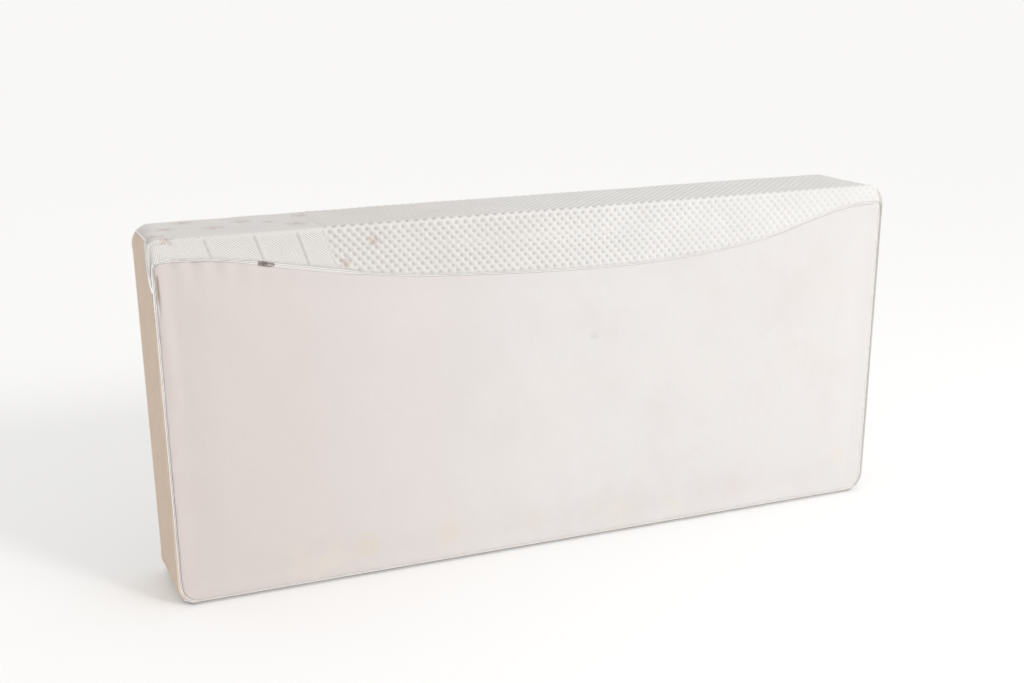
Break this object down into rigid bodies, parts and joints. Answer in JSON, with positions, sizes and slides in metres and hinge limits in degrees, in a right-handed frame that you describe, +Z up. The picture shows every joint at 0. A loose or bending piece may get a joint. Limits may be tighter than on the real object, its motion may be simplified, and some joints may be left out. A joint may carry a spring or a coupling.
{
  "type": "memory foam mattress",
  "caption": "Single foam mattress in a zip-off knitted cover, standing on its long side: layered foam, sleeve, quilted panel, border panels and a zip with a running slider and pull tab.",
  "frame": {"origin": "centre of the long side face that the mattress stands on", "axes": "+X along the length, +Y through the thickness from the underside to the sleeping surface, +Z up the width as it stands on its long side"},
  "size_m": [2, 0.2524, 0.9],
  "materials": {
    "underside_fabric": "matte",
    "knit_fabric": "matte",
    "end_fabric": "matte",
    "wadding": "matte",
    "backing": "matte",
    "zip_tape": "matte",
    "zip_coil": "satin",
    "zip_metal": "satin",
    "sleeve_fabric": "matte",
    "memory_foam": "matte",
    "transition_foam": "matte",
    "core_foam": "matte"
  },
  "bodies": {
    "mattress": {"underside_panel": "underside_fabric", "border_upper": "knit_fabric", "border_lower": "knit_fabric", "end_panel_left": "end_fabric", "end_panel_right": "end_fabric", "sleeping_panel": "knit_fabric", "quilt_wadding": "wadding", "quilt_backing": "backing", "zip_tape_cover": "zip_tape", "zip_tape_underside": "zip_tape", "zip_coil_cover": "zip_coil", "zip_coil_underside": "zip_coil", "zip_end_stops": "zip_metal", "inner_sleeve": "sleeve_fabric", "comfort_foam": "memory_foam", "transition_foam": "transition_foam", "support_core": "core_foam"},
    "slider": {"zip_slider": "zip_metal"},
    "pull_tab": {"zip_pull_tab": "zip_metal"}
  },
  "joints": [
    {"name": "zip_slide", "type": "slide", "parent": "mattress", "child": "slider", "axis": [0.9841, 0, -0.1773], "range_m": [0, 0.2]},
    {"name": "pull_tab_hinge", "type": "hinge", "parent": "slider", "child": "pull_tab", "pos_m": [-0.737, -0.1252, 0.82499], "axis": [-0.1773, 0, -0.9841], "range_deg": [0, 180]}
  ]
}
